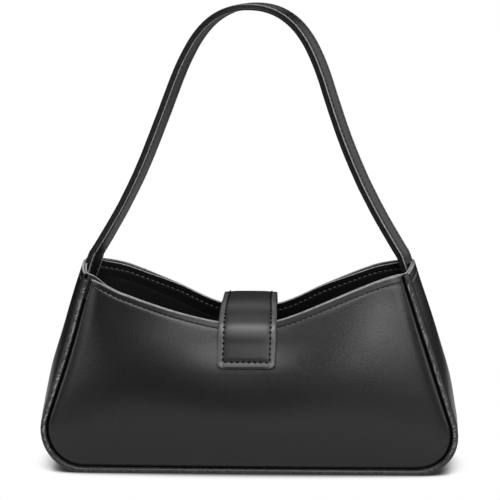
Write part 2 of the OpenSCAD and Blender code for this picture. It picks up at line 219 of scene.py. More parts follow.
def shade(tree, bumps=(), **inputs):
    """Sets the shader's inputs. Each bump is (height, strength, distance in metres)."""
    for height, strength, distance in bumps:
        bump = add_node(tree, "Bump", Height=height, Strength=strength, Distance=distance)
        if "Normal" in inputs:
            tree.links.new(inputs["Normal"], bump.inputs["Normal"])
        inputs["Normal"] = bump.outputs["Normal"]
    set_inputs(tree, tree.nodes["Principled BSDF"], inputs)


def leather(name, dark, light, rough, grain=1.0, pore=900.0, spec=0.5):
    """Smooth leather: cloudy tone, small pebbles between the pores and a fine grain."""
    mat, tree, coords = new_surface(name)
    tone = ranged(tree, noise_value(tree, coords, 14.0, 3.0), 0.1, 0.9, 0.0, 1.0)
    fine = noise_value(tree, coords, 2600.0)
    cell = add_node(tree, "TexVoronoi", Vector=coords, Scale=pore)
    cell.feature = "DISTANCE_TO_EDGE"
    pebble = ranged(tree, cell.outputs["Distance"], 0.0, 0.28, 0.0, 1.0)
    shade(tree, [(pebble, 0.2 * grain, 0.00003), (fine, 0.35 * grain, 0.00004)],
          Base_Color=two_tone(tree, tone, dark, light), Specular_IOR_Level=spec,
          Roughness=ranged(tree, fine, 0.2, 0.8, rough - 0.03, rough + 0.03))
    return mat


def painted_edge(name, tint, rough, lump=420.0, dark=0.7, light=1.5, spec=0.5):
    """Lumpy paint on a cut edge. dark and light are shares of the tint."""
    mat, tree, coords = new_surface(name)
    lumps = noise_value(tree, coords, lump, 3.0, 0.6)
    fine = noise_value(tree, coords, 2200.0)
    shade(tree, [(lumps, 0.35, 0.0002), (fine, 0.2, 0.00005)],
          Base_Color=two_tone(tree, ranged(tree, lumps, 0.3, 0.75, 0, 1),
                              [dark * c for c in tint], [light * c for c in tint]),
          Roughness=ranged(tree, fine, 0.3, 0.7, rough - 0.06, rough + 0.1),
          Specular_IOR_Level=spec)
    return mat


def thread(name, tint, spec=0.5):
    """Twisted thread with a little fuzz."""
    mat, tree, coords = new_surface(name)
    wave = add_node(tree, "TexWave", Vector=coords, Scale=900.0, Distortion=1.5)
    wave.bands_direction = "DIAGONAL"
    twist = wave.outputs["Fac"]
    shade(tree, [(twist, 0.5, 0.00012), (noise_value(tree, coords, 3000.0), 0.3, 0.00005)],
          Base_Color=two_tone(tree, twist, [0.6 * c for c in tint], tint), Roughness=0.5,
          Specular_IOR_Level=spec)
    return mat


def weave(name, dark, light, scale, rough):
    """Plain woven cloth, a little blotchy."""
    mat, tree, coords = new_surface(name)
    both = add_node(tree, "Math")
    both.operation = "MULTIPLY"
    for k, axis in enumerate(("X", "Z")):
        wave = add_node(tree, "TexWave", Vector=coords, Scale=scale)
        wave.bands_direction = axis
        tree.links.new(wave.outputs["Fac"], both.inputs[k])
    blot = noise_value(tree, coords, 90.0, 3.0)
    shade(tree, [(both.outputs[0], 0.4, 0.0001), (blot, 0.2, 0.0004)],
          Base_Color=two_tone(tree, blot, dark, light), Roughness=rough,
          Specular_IOR_Level=0.2)
    return mat


def fibre_board(name):
    mat, tree, coords = new_surface(name)
    flecks = noise_value(tree, coords, 700.0, 4.0, 0.7)
    shade(tree, [(flecks, 0.3, 0.0001)], Roughness=0.85,
          Base_Color=two_tone(tree, ranged(tree, flecks, 0.35, 0.65, 0, 1),
                              (0.26, 0.22, 0.17), (0.42, 0.37, 0.29)))
    return mat


def plated(name):
    mat, tree, coords = new_surface(name)
    scuffs = noise_value(tree, coords, 900.0, 3.0)
    shade(tree, Base_Color=two_tone(tree, scuffs, (0.5, 0.5, 0.52), (0.66, 0.66, 0.68)),
          Roughness=ranged(tree, scuffs, 0.3, 0.7, 0.18, 0.34), Metallic=1.0)
    return mat


make_camera()
make_room()

BLACK, BLACK_LIGHT = (0.0035, 0.0035, 0.0037), (0.0065, 0.0065, 0.0068)
BODY_LEATHER = leather("body_leather", BLACK, (0.006, 0.006, 0.0063), 0.28, grain=0.8)
STRAP_LEATHER = leather("strap_leather", BLACK, BLACK_LIGHT, 0.36, grain=1.6, pore=1100.0)
TAB_LEATHER = leather("tab_leather", (0.004, 0.004, 0.0043), BLACK_LIGHT, 0.4, pore=1000.0)
FACING_LEATHER = leather("facing_leather", (0.0028, 0.0028, 0.003), (0.0048, 0.0048, 0.005),
                         0.42, grain=0.8, spec=0.35)
EDGE_PAINT = painted_edge("edge_paint", BLACK, 0.42, spec=0.22)
# Light grey line on the strap where its edges meet the faces: a painted highlight on the rounded
# corners.
STRAP_EDGE_HIGHLIGHT = painted_edge("strap_edge_highlight", (0.26, 0.26, 0.265), 0.35)
# Lighter leather on the tab's border outside its stitches: a painted highlight.
TAB_BORDER_HIGHLIGHT = painted_edge("tab_border_highlight", (0.055, 0.055, 0.057), 0.36, lump=900.0)
# Light grey rim paint: real edge paint, lightened as a painted highlight of the top edges.
RIM_PAINT_HIGHLIGHT = painted_edge("rim_paint_highlight", (0.27, 0.27, 0.275), 0.3)
WELT_PAINT = painted_edge("welt_paint", (0.02, 0.02, 0.0208), 0.42, lump=620.0, dark=0.15,
                          light=2.2, spec=0.4)
THREAD = thread("thread", (0.1, 0.1, 0.103))
# Near-black matt tab thread: real thread, darkened as painted shade of the sunk stitch holes.
TAB_THREAD_SHADE = thread("tab_thread_shade", (0.0015, 0.0015, 0.0015), spec=0.08)
# Light grey seam thread: real stitching, its light tone a painted highlight of the stitches.
SEAM_THREAD_HIGHLIGHT = thread("seam_thread_highlight", (0.3, 0.3, 0.305))
LINING = weave("lining_cloth", (0.0015, 0.0015, 0.0017), (0.003, 0.003, 0.0033), 650.0, 0.8)
STIFF_CLOTH = weave("stiffener_cloth", (0.26, 0.23, 0.19), (0.36, 0.33, 0.27), 500.0, 0.9)
BOARD = fibre_board("base_board_fibre")
PLATED = plated("plated_steel")


# ---- The part's shape functions, in mm ----

def smooth(t):
    t = np.clip(t, 0.0, 1.0)
    return t * t * (3 - 2 * t)


def ramp(v, start, reach):
    """Smooth rise from 0 at start to 1 at start + reach."""
    return smooth((v - start) / reach)


def unit(v):
    return v / np.maximum(1e-9, np.linalg.norm(v, axis=-1))[..., None]


def bezier(a, b, c, d, t):
    t = t[:, None]
    return (1 - t) ** 3 * a + 3 * t * (1 - t) ** 2 * b + 3 * t * t * (1 - t) * c + t ** 3 * d


def run_along(line):
    """Distance along a line of points, from its start."""
    return np.concatenate([[0], np.cumsum(np.linalg.norm(np.diff(line, axis=0), axis=1))])


def resampled(line, count):
    """A flat line at even steps, and how far along it each of its points is."""
    run = run_along(line)
    even = np.linspace(0, run[-1], count)
    return np.stack([np.interp(even, run, line[:, 0]), np.interp(even, run, line[:, 1])], -1), even


ARC_X = BODY_W / 2 - CORNER_R
LEAN_OUT = np.array([math.cos(LEAN), math.sin(LEAN)])
LEAN_UP = np.array([-math.sin(LEAN), math.cos(LEAN)])
CORNER_STEPS = 14


def side_foot(inset):
    """Where the outline's corner passes into its leaning side."""
    return np.array([ARC_X, CORNER_R]) + (CORNER_R - inset) * LEAN_OUT


def outline_x(z, inset=0.0):
    r = CORNER_R - inset
    fx, fz = side_foot(inset)
    return np.where(z < fz, ARC_X + np.sqrt(np.maximum(0, r * r - (CORNER_R - z) ** 2)),
                    fx - (z - fz) * math.tan(LEAN))


MOUTH_X = float(outline_x(BODY_H, WELT_W))


def rim_z(x):
    """Height of the mouth's edge."""
    t = np.minimum(1, np.abs(x) / MOUTH_X)
    return BODY_H - MOUTH_DIP * (1 - 0.7 * smooth(t) - 0.3 * t * t)


def half_depth(z):
    return BASE_D / 2 - (BASE_D - MOUTH_D) / 2 * z / BODY_H


def face_depth(x, z):
    """How far a panel's face stands from the middle plane."""
    u = np.minimum(1, np.abs(x) / outline_x(z, WELT_W))
    f = np.clip((z - WELT_W) / (rim_z(x) - WELT_W), 0, 1)
    return half_depth(z) + (1 - u ** 3) * (
        PANEL_PUFF * np.sin(math.pi * f ** 0.75) + MOUTH_PUFF * f)


def half_outline(inset, top_z, side=36):
    foot = side_foot(inset)
    a = np.radians(-90 + (90 + math.degrees(LEAN)) * np.linspace(0, 1, CORNER_STEPS + 1))
    curve = np.stack([ARC_X + (CORNER_R - inset) * np.cos(a),
                      CORNER_R + (CORNER_R - inset) * np.sin(a)], -1)
    rise = (top_z - foot[1]) / math.cos(LEAN)
    line = foot + rise * np.linspace(0, 1, side + 1)[1:, None] * LEAN_UP
    return np.concatenate([curve, line])


def full_outline(top_z, base=40):
    """From the left top down, along the base and up to the right top."""
    right = half_outline(0.0, top_z)
    left = (right * [-1, 1])[::-1]
    xs = np.linspace(-ARC_X, ARC_X, base + 2)[1:-1]
    flat = np.stack([xs, np.zeros_like(xs)], -1)
    return np.concatenate([left, flat, right])


def out_dir(p):
    """Directions that lead straight out of the outline."""
    foot = side_foot(0)
    s = np.sign(p[:, 0])
    lean = np.stack([s * LEAN_OUT[0], np.full(len(p), LEAN_OUT[1])], -1)
    d = np.stack([s * np.maximum(0, np.abs(p[:, 0]) - ARC_X), p[:, 1] - CORNER_R], -1)
    return np.where((p[:, 1] > foot[1])[:, None], lean, unit(d))


# The photographed sag: how far the front edge hangs at its middle and along its left arm,
# and how much less at the arm's corner
HANG_MIDDLE, HANG_LEFT, HANG_CORNER = 1.4, 7.6, 3.4
# How far the back edge stands higher, and how much less at its corners
RISE_BACK, RISE_CORNER = 2.7, 1.2
# How far the front's left corner and the lower right one move out
UPPER_OUT, LOWER_OUT = 3.0, 2.6
# Where these begin and how far they reach, across, in depth and in height
LEFT_ARM, BACK_ARM, ARM_CORNER, OFF_MIDDLE, HIGH = (0, 72), (16, 34), (78, 20), (2, 16), (50, 62)


def sag(points, hang=1.0):
    """As photographed, the front's left arm hangs lower, its corner and the lower right one
    stand out and the back edge is higher. hang is a piece's share of the lower arm."""
    p = np.array(points, float)
    x, y, z = p[..., 0], p[..., 1], p[..., 2]
    arm = hang * (HANG_MIDDLE * smooth(1 - np.abs(x) / 50) + HANG_LEFT * ramp(-x, *LEFT_ARM)
                  - HANG_CORNER * ramp(-x, *ARM_CORNER))
    lift = RISE_BACK * ramp(np.abs(x), *BACK_ARM) - RISE_CORNER * ramp(np.abs(x), *ARM_CORNER)
    high = ramp(z, *HIGH)
    p[..., 2] = z - arm * ramp(-y, *OFF_MIDDLE) * high + lift * ramp(y, *OFF_MIDDLE) * high
    p[..., 0] = x - UPPER_OUT * ramp(-x, 55, 40) * ramp(z, 60, 60) * ramp(-y, -4, 24)
    p[..., 0] += LOWER_OUT * ramp(x, 88, 32) * (1 - ramp(z, 8, 32))
    return p


def ripple(points, amount, size, seed):
    """Soft unevenness of leather: a height for each point."""
    flat = points.reshape(-1, 3)
    d = np.array([noise.noise(Vector((q[0] / size + seed, q[2] / size, q[1] / size * 0.3)))
                  for q in flat]) * amount
    return d.reshape(points.shape[:-1])


# ---- Mesh makers ----

def add_object(name, points, faces, mats, which=None, uvs=None):
    """A smooth mesh from points in mm. which gives each face's material."""
    mesh = bpy.data.meshes.new(name)
    mesh.from_pydata((np.asarray(points) / 1000.0).tolist(), [], faces)
    for m in mats:
        mesh.materials.append(m)
    if which is not None:
        mesh.polygons.foreach_set("material_index", np.asarray(which, dtype=np.int32))
    if uvs is not None:
        layer = mesh.uv_layers.new(name="UVMap")
        loops = np.zeros(len(mesh.loops), dtype=np.int32)
        mesh.loops.foreach_get("vertex_index", loops)
        layer.data.foreach_set("uv", np.asarray(uvs, dtype=np.float32)[loops].ravel())
    mesh.polygons.foreach_set("use_smooth", np.full(len(mesh.polygons), True))
    mesh.update()
    mesh.validate()
    return new_object(name, mesh)


EDGE_STEPS = 3


def sheet_mesh(near, far):
    """Closed solid between two grids with half-round edges. Returns points, faces, the
    kind of each face (0 near, 1 far, 2 top edge, 3 foot, 4 sides) and uvs in metres."""
    near, far = np.array(near, float), np.array(far, float)
    rows, cols = near.shape[:2]
    loop = ([(0, i) for i in range(cols - 1)] + [(j, cols - 1) for j in range(rows - 1)]
            + [(rows - 1, i) for i in range(cols - 1, 0, -1)]
            + [(j, 0) for j in range(rows - 1, 0, -1)])
    mid = (near + far) / 2
    outward = []
    for j, i in loop:
        dj = (j == rows - 1) - (j == 0)
        di = (i == cols - 1) - (i == 0)
        outward.append(unit(unit(mid[j, i] - mid[j - dj, i]) + unit(mid[j, i] - mid[j, i - di])))
    outward = np.array(outward)
    on_edge = tuple(np.array(loop).T)
    half = np.linalg.norm(near[on_edge] - far[on_edge], axis=1) / 2
    near[on_edge] -= outward * half[:, None]
    far[on_edge] -= outward * half[:, None]
    near_edge, far_edge = near[on_edge], far[on_edge]
    centre = (near_edge + far_edge) / 2
    rings = [centre + (near_edge - centre) * math.cos(a) + outward * half[:, None] * math.sin(a)
             for a in np.linspace(0, math.pi, EDGE_STEPS + 2)[1:-1]]
    points = np.concatenate([near.reshape(-1, 3), far.reshape(-1, 3)] + rings)
    total, count = rows * cols, len(loop)
    faces, kinds = [], []
    for j in range(rows - 1):
        for i in range(cols - 1):
            a = j * cols + i
            b, c, d = a + 1, a + cols + 1, a + cols
            faces += [(a, b, c, d), (a + total, d + total, c + total, b + total)]
            kinds += [0, 1]
    chain = [[j * cols + i for j, i in loop]]
    for k in range(EDGE_STEPS):
        chain.append([2 * total + k * count + q for q in range(count)])
    chain.append([c + total for c in chain[0]])
    kind_of = [2 if j == rows - 1 else 3 if j == 0 else 4 for j, _ in loop]
    for one, two in zip(chain, chain[1:]):
        for q in range(count):
            r = (q + 1) % count
            faces.append((one[q], two[q], two[r], one[r]))
            kinds.append(kind_of[q] if kind_of[q] == kind_of[r] else 4)
    uv = np.stack(np.meshgrid(run_along(near[rows // 2]), run_along(near[:, cols // 2])), -1)
    flat = uv.reshape(-1, 2)
    uvs = np.concatenate([flat, flat] + [uv[on_edge]] * EDGE_STEPS) / 1000.0
    return points, faces, kinds, uvs


def outward_first(near, far):
    """Turns both grids so that near's faces look away from far."""
    j, i = near.shape[0] // 2, near.shape[1] // 2
    n = np.cross(near[j, i + 1] - near[j, i], near[j + 1, i] - near[j, i])
    if np.dot(n, near[j, i] - far[j, i]) < 0:
        near, far = near[:, ::-1], far[:, ::-1]
    return near, far


def sheet_piece(name, near, far, face_mat, back_mat, edge_mat, painted_rows=0, foot_mat=None,
                side_mat=None):
    """Sheet whose last rows, at its top, can carry the edge paint, which on the panels and the
    facing is the light rim paint with its painted highlight, and whose foot and sides can have a
    material of their own."""
    near, far = outward_first(near, far)
    points, faces, kinds, uvs = sheet_mesh(near, far)
    rows, cols = near.shape[:2]
    for j in range(rows - 1 - painted_rows, rows - 1):
        for i in range(cols - 1):
            first = 2 * (j * (cols - 1) + i)
            kinds[first] = kinds[first + 1] = 2
    return add_object(name, points, faces, [face_mat, back_mat, edge_mat, foot_mat or edge_mat,
                                            side_mat or edge_mat], kinds, uvs)


def loft(name, rings, mats, which_of):
    """Closed loops of points. which_of gives the material of each place on the loop."""
    n, m = rings.shape[:2]
    points = rings.reshape(-1, 3)
    faces = []
    for first in range(0, (n - 1) * m, m):
        for q in range(m):
            r = (q + 1) % m
            faces.append((first + q, first + r, first + m + r, first + m + q))
    faces += [tuple(range(m - 1, -1, -1)), tuple(range((n - 1) * m, n * m))]
    which = which_of * (n - 1) + which_of[:1] * 2
    along, around = run_along(rings.mean(1)), run_along(rings[n // 2])
    uvs = np.stack(np.meshgrid(around, along), -1).reshape(-1, 2) / 1000.0
    return add_object(name, points, faces, mats, which, uvs)


def tube_faces(base, rings, sides):
    """Faces of one closed tube whose points start at base, ring by ring."""
    faces = []
    last = base + (rings - 1) * sides
    for first in range(base, last, sides):
        for q in range(sides):
            r = (q + 1) % sides
            faces.append((first + q, first + sides + q, first + sides + r, first + r))
    faces.append(tuple(range(base, base + sides)))
    faces.append(tuple(range(last + sides - 1, last - 1, -1)))
    return faces


# One stitch as (place along its half length, height over the leather, thickness), the last
# two as shares of its radius
STITCH_RINGS = [(-1.0, -1.5, 0.55), (-0.8, -0.5, 0.9), (-0.35, 0.25, 1.0), (0.35, 0.25, 1.0),
                (0.8, -0.5, 0.9), (1.0, -1.5, 0.55)]
STITCH_SLANT = 0.06


def point_at(line, run, where):
    return np.array([np.interp(where, run, line[:, c]) for c in range(3)])


def stitches(name, rows, length=2.5, radius=0.32, pitch=STITCH, sides=7, mat=THREAD):
    """Threads along rows of (points, normals). Each dips into the leather at its ends."""
    all_points, faces = [], []
    angles = np.linspace(0, 2 * math.pi, sides, endpoint=False)
    for points, normals in rows:
        run = run_along(points)
        count = int(run[-1] / pitch)
        for k in range(count):
            s = (k + 0.5) * run[-1] / count
            p = point_at(points, run, s)
            t = unit(point_at(points, run, s + 0.5) - point_at(points, run, s - 0.5))
            n = unit(point_at(normals, run, s))
            b = np.cross(t, n)
            slant = t + STITCH_SLANT * b
            faces += tube_faces(len(all_points), len(STITCH_RINGS), sides)
            for along, height, thick in STITCH_RINGS:
                c = p + slant * along * length / 2 + n * height * radius
                for a in angles:
                    all_points.append(c + radius * thick * (b * math.cos(a) + n * math.sin(a)))
    return add_object(name, all_points, faces, [mat])


def place(obj, slot_name, *nodes):
    """Lets a piece ride on the bag, and stand in for the solids that it shows."""
    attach(obj, "bag")
    if nodes:
        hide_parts(*nodes)


# ---- Panels, facings, stiffeners and linings ----

PANEL_INSET = WELT_W + SEAM_GAP
BACKING = PANEL_T + PLY
LINING_FROM = BACKING + max(STIFFENER_T, FACING_T) + PLY
LINING_INSET = GUSSET_T + LINING_SLACK + BOARD_T + LINING_T + 2 * PLY
# The stitch row's distance below the mouth's edge at the left and the right end
ROW_DROP = {-1: (4.3, 5.3), 1: (4.6, 4.6)}
# Dips at the seam as (depth, reach): the wide one and the turned-in edge
SEAM_DIP, SEAM_ROLL = (0.9, 8.0), (1.6, 2.4)
ROW_DIP, ROW_LIP, TAB_HOLLOW, HOLLOW_W = 0.16, 0.06, 1.3, 30
# Soft unevenness of the panels as (height, size)
BROAD_RIPPLE, SMALL_RIPPLE = (0.13, 38.0), (0.04, 12.0)
# The finer rows at the top edge: how far down they go and their step
TOP_ROWS, TOP_STEP = 11.0, 0.45
STIFFENER_IN = 3


def seam_distance(x, z):
    """Distance in the panel's plane from its edge at the seam."""
    foot = side_foot(PANEL_INSET)
    x = np.abs(x)
    side = (outline_x(z, PANEL_INSET) - x) * math.cos(LEAN)
    corner = (CORNER_R - PANEL_INSET) - np.hypot(np.maximum(x - ARC_X, 0), z - CORNER_R)
    d = np.where(z >= foot[1], side, np.where(x > ARC_X, corner, 1e3))
    return np.maximum(0, np.minimum(d, z - PANEL_INSET))


def row_drop(side, x):
    """How far below the mouth's edge the stitch row runs."""
    left, right = ROW_DROP[side]
    return left + (right - left) * ramp(x, -MOUTH_X, 2 * MOUTH_X)


def relief(side, x, z):
    """Shape of the leather on top of the plain swelling: it dips at the seam and at the
    stitch row, and gives way behind the tab."""
    below = rim_z(x) - z - row_drop(side, x)
    edge = seam_distance(x, z)
    r = -sum(depth * (1 - smooth(edge / reach)) for depth, reach in (SEAM_DIP, SEAM_ROLL))
    r = r - ROW_DIP * np.exp(-(below / 0.5) ** 2) + ROW_LIP * smooth(below / 3.0)
    if side < 0:
        r = r - TAB_HOLLOW * np.exp(-(x / HOLLOW_W) ** 2) * ramp(z, 66, 22)
    return r


def panel_columns(fine):
    """Places across a panel from -1 to 1, closer together at its seams if it is fine."""
    edges = 1 - np.array([0.0, 0.004, 0.009, 0.015, 0.022, 0.032])
    middle = np.linspace(-0.95, 0.95, 91 if fine else 41)
    return np.concatenate([-edges, middle, edges[::-1]]) if fine else np.linspace(-1, 1, 49)


def panel_grid(side, inset, drop, depth, fine=False, seed=0.0):
    ends = half_outline(inset, BODY_H, side=44 if fine else 30)
    if fine:
        top = BODY_H - np.arange(TOP_ROWS - 0.2, -0.01, -TOP_STEP)
        rows = np.stack([outline_x(top, inset), top], -1)
        ends = np.concatenate([ends[ends[:, 1] < BODY_H - TOP_ROWS], rows])
    top_x = float(outline_x(BODY_H, inset))
    u = panel_columns(fine)
    f = (ends[:, 1] - inset) / (BODY_H - inset)
    x = ends[:, :1] * u
    z = inset + f[:, None] * (rim_z(u * top_x) - drop - inset)
    y = face_depth(x, z) - depth
    if fine:
        y = y + relief(side, x, z)
    grid = np.stack([x, side * y, z], -1)
    if fine:
        weight = smooth(seam_distance(x, z) / 14) * smooth((rim_z(x) - z) / 10)
        grid[..., 1] += side * weight * (ripple(grid, *BROAD_RIPPLE, seed)
                                         + ripple(grid, *SMALL_RIPPLE, seed + 5))
    return grid


# The sheets behind each panel as (name, slot, material, inset, distance below the mouth's
# edge, depths of its two faces)
BACKINGS = [("_stiffener_sheet", "reinforcement", STIFF_CLOTH, PANEL_INSET + STIFFENER_IN,
             FACING_H + 2 * PLY, (BACKING, BACKING + STIFFENER_T)),
            ("_lining_cloth", "lining_fabric", LINING, LINING_INSET, FACING_H - LINING_LAP,
             (LINING_FROM + LINING_T, LINING_FROM))]

for side, word, seed in ((-1, "front", 3.0), (1, "back", 11.0)):
    outer = panel_grid(side, PANEL_INSET, 0, 0, fine=True, seed=seed)
    inner = panel_grid(side, PANEL_INSET, 0, PANEL_T, fine=True, seed=seed)
    # The top two rows take the light rim paint, which widens its painted highlight.
    place(sheet_piece(word + "_panel_leather", sag(outer), sag(inner), BODY_LEATHER,
                      FACING_LEATHER, RIM_PAINT_HIGHLIGHT, painted_rows=2, foot_mat=EDGE_PAINT,
                      side_mat=EDGE_PAINT), "body_leather", word + "_panel")
    for name, slot_name, mat, inset, drop, depths in BACKINGS:
        near, far = (sag(panel_grid(side, inset, drop, depth)) for depth in depths)
        place(sheet_piece(word + name, near, far, mat, mat, mat), slot_name,
              word + name.rsplit("_", 1)[0])


# ---- Gusset and its lining ----

GUSSET_MARGIN = WELT_T + PLY + SEAM_GAP
TOP_REACH = 26.0
# Soft unevenness of the gusset as (height, size, seed)
GUSSET_RIPPLE = (0.35, 26.0, 21.0)


def bow(z):
    """How far the gusset bows out at this height."""
    return GUSSET_PUFF * ramp(z, 18, 50)


def gusset_grid(path, depth, margin, t, rise):
    """Points over the gusset's path, at places t across it; rise is given for each row."""
    out = out_dir(path)
    depth = np.broadcast_to(depth, (len(path),))
    rise = np.broadcast_to(rise, (len(path),))
    crown = (1 - t * t)[None, :, None]
    lean = np.stack([np.sign(path[:, 0]) * LEAN_UP[0], np.full(len(path), LEAN_UP[1])], -1)
    q = (path[:, None, :] + out[:, None, :] * (bow(path[:, 1])[:, None, None] * crown
                                              - depth[:, None, None])
         + lean[:, None, :] * rise[:, None, None] * crown)
    y = t * (half_depth(path[:, 1]) - margin)[:, None]
    return np.stack([q[..., 0], y, q[..., 1]], -1)


def top_rise(path):
    return GUSSET_RISE * ramp(path[:, 1], BODY_H - TOP_REACH, TOP_REACH)


def gusset_line(s, z, depth, margin, t):
    """A level line across the gusset on one side."""
    at = np.array([[s * float(outline_x(z)), z]])
    return gusset_grid(at, depth, margin, t, float(top_rise(at)[0]))[0]


def gusset_relief(path, grid):
    """A shallow groove at the stitch row under the top edge and soft unevenness."""
    out = out_dir(path)
    below = BODY_H - path[:, 1]
    dip = -GUSSET_ROW_DEPTH * np.exp(-((below - GUSSET_ROW) / 0.6) ** 2)
    uneven = ripple(grid, *GUSSET_RIPPLE) * ramp(path[:, 1], 10, 30)[:, None]
    move = dip[:, None] + uneven
    grid = grid.copy()
    grid[..., 0] += out[:, :1] * move
    grid[..., 2] += out[:, 1:] * move
    return grid


path = full_outline(BODY_H)
top = BODY_H - np.arange(0, 7.9, TOP_STEP)
core = path[path[:, 1] < BODY_H - 8.2]
left_top = np.stack([-outline_x(top), top], -1)
path = np.concatenate([left_top, core, left_top[::-1] * [-1, 1]])
across = np.linspace(-1, 1, 25)
rise = top_rise(path)
outer = gusset_relief(path, gusset_grid(path, 0, GUSSET_MARGIN - 0.25, across, rise))
inner = gusset_relief(path, gusset_grid(path, GUSSET_T, GUSSET_MARGIN - 0.25, across, rise))
outer[..., 2] = np.maximum(outer[..., 2], 0.0)
place(sheet_piece("gusset_leather", sag(outer, GUSSET_SAG), sag(inner, GUSSET_SAG),
                  BODY_LEATHER, FACING_LEATHER, RIM_PAINT_HIGHLIGHT, side_mat=EDGE_PAINT),
      "body_leather", "gusset")

lining_path = full_outline(BODY_H - FACING_H - 2 * PLY)
lift = GUSSET_T + LINING_SLACK + BOARD_T * (1 - smooth(lining_path[:, 1] / (2 * CORNER_R)))
across = np.linspace(-1, 1, 9)
place(sheet_piece("gusset_lining_cloth",
                  sag(gusset_grid(lining_path, lift + LINING_T, GUSSET_MARGIN + 1, across, 0)),
                  sag(gusset_grid(lining_path, lift, GUSSET_MARGIN + 1, across, 0)),
                  LINING, LINING, LINING), "lining_fabric", "gusset_lining")


# ---- Facing: one band of leather round the inside of the mouth ----

FACING_IN = 6.0
PANEL_STEPS, SIDE_STEPS, CORNER_POINTS = 44, 17, 9
CORNER_PULL = 0.55
# Share of the sag that the band loses at its left end, and how its ends are lifted
HANG_LOSS, FRONT_LIFT, BACK_LIFT = 0.75, 0.4, -1.5


def facing_columns(depth, level):
    """The band's line at a level from 0 at its foot to 1 at its top. It starts at the middle
    of the back and goes round by the right, the front and the left."""
    drop = FACING_H * (1 - level)
    reach = MOUTH_X - FACING_IN

    def panel_part(side, xs):
        hang = 1 - HANG_LOSS * ramp(-xs, 87, 12)
        lift = FRONT_LIFT * ramp(np.abs(xs), 72, 22)
        if side > 0:
            lift = BACK_LIFT * ramp(np.abs(xs), 40, 35)
        z = rim_z(xs) - drop
        y = side * (face_depth(xs, z) - BACKING - depth)
        p = sag(np.stack([xs, y, z], -1), hang)
        p[:, 2] += lift * level
        return p

    def side_part(s, ts):
        return sag(gusset_line(s, BODY_H - drop, GUSSET_T + PLY + depth, GUSSET_MARGIN + 1.5,
                               ts), GUSSET_SAG)

    def corner(a, b):
        """Curve that leaves a along a's direction and enters b along b's."""
        pull = np.linalg.norm(b[0] - a[-1]) * CORNER_PULL
        return bezier(a[-1], a[-1] + unit(a[-1] - a[-2]) * pull,
                      b[0] - unit(b[1] - b[0]) * pull, b[0],
                      np.linspace(0, 1, CORNER_POINTS)[1:-1])

    ts = np.linspace(0.74, -0.74, SIDE_STEPS)
    parts = [panel_part(1, np.linspace(0, reach, PANEL_STEPS)), side_part(1, ts),
             panel_part(-1, np.linspace(reach, -reach, 2 * PANEL_STEPS)), side_part(-1, -ts),
             panel_part(1, np.linspace(-reach, -0.05, PANEL_STEPS))]
    line = [parts[0]]
    for part in parts[1:]:
        line += [corner(line[-1], part), part]
    return np.concatenate(line)


def groove(level):
    """How far the facing dips at its stitch row."""
    return FACING_ROW_DEPTH * math.exp(-((FACING_H * (1 - level) - FACING_ROW) / 0.55) ** 2)


levels = np.concatenate([np.linspace(0, 0.62, 6), np.linspace(0.65, 1, 12)])
near = np.stack([facing_columns(0.0, v) for v in levels])
far = np.stack([facing_columns(FACING_T - groove(v), v) for v in levels])
place(sheet_piece("mouth_facing_leather", far, near, FACING_LEATHER, FACING_LEATHER,
                  RIM_PAINT_HIGHLIGHT, painted_rows=1, foot_mat=EDGE_PAINT, side_mat=EDGE_PAINT),
      "facing_leather", "front_facing", "back_facing", "left_facing", "right_facing")


def facing_row():
    level = 1 - FACING_ROW / FACING_H
    row = facing_columns(FACING_T - FACING_ROW_DEPTH, level)
    up = facing_columns(FACING_T - FACING_ROW_DEPTH, level + 0.02) - row
    normal = unit(np.cross(up, unit(np.gradient(row, axis=0))))
    inward = -row * [1, 1, 0]
    return row, normal * np.sign((normal * inward).sum(-1))[:, None]


place(stitches("facing_stitches", [facing_row()]), "facing_leather")


# ---- Stitch rows on the panels and the gusset ----

for side, word in ((-1, "front"), (1, "back")):
    x = np.linspace(-MOUTH_X + 2.5, MOUTH_X - 2.5, 180)
    z = rim_z(x) - row_drop(side, x)
    row = np.stack([x, side * (face_depth(x, z) + relief(side, x, z)), z], -1)
    up = np.stack([x, side * (face_depth(x, z + 1)), z + 1], -1) \
        - np.stack([x, side * (face_depth(x, z)), z], -1)
    normal = unit(np.cross(unit(np.gradient(row, axis=0)), up))
    normal *= np.sign(normal[:, 1] * side)[:, None]
    place(stitches(word + "_panel_stitches", [(sag(row), normal)]), "body_leather")

for s, word in ((-1, "left"), (1, "right")):
    row = gusset_line(s, BODY_H - GUSSET_ROW, GUSSET_ROW_DEPTH, GUSSET_MARGIN,
                      np.linspace(-0.92, 0.92, 40))
    normal = np.tile([s * LEAN_OUT[0], 0, LEAN_OUT[1]], (len(row), 1))
    place(stitches(word + "_gusset_stitches", [(sag(row, GUSSET_SAG), normal)]), "body_leather")


# ---- Seam edges ----

# Profile across a seam edge as (outward, depth from its face): two leathers with a
# groove between them
WELT_PROFILE = [(-3.6, 1.6), (-3.15, 0.7), (-2.75, 0.15), (-2.1, -0.02), (-0.9, 0.05),
                (-0.3, 0.3), (0.0, 0.8), (-0.15, 1.25), (-0.5, 1.5), (-0.15, 1.75), (0.0, 2.2),
                (-0.1, 2.7), (-0.4, 3.0), (-2.0, 3.2), (-3.3, 2.9), (-3.6, 2.4)]
SEAM_STEPS = 640
# One stitch fibre as (outward, depth, share of its thickness), and the fibres' spacing, distance
# from the seam's ends, lowest height and sides
FIBRE = [(-2.85, 0.2, 0.6), (-2.55, -0.02, 1), (-2.2, -0.14, 1), (-1.8, -0.2, 0.8),
         (-1.45, -0.16, 0.4)]
FIBRE_PITCH, FIBRE_END, FIBRE_FROM_Z, FIBRE_SIDES = 1.15, 6, 12, 5


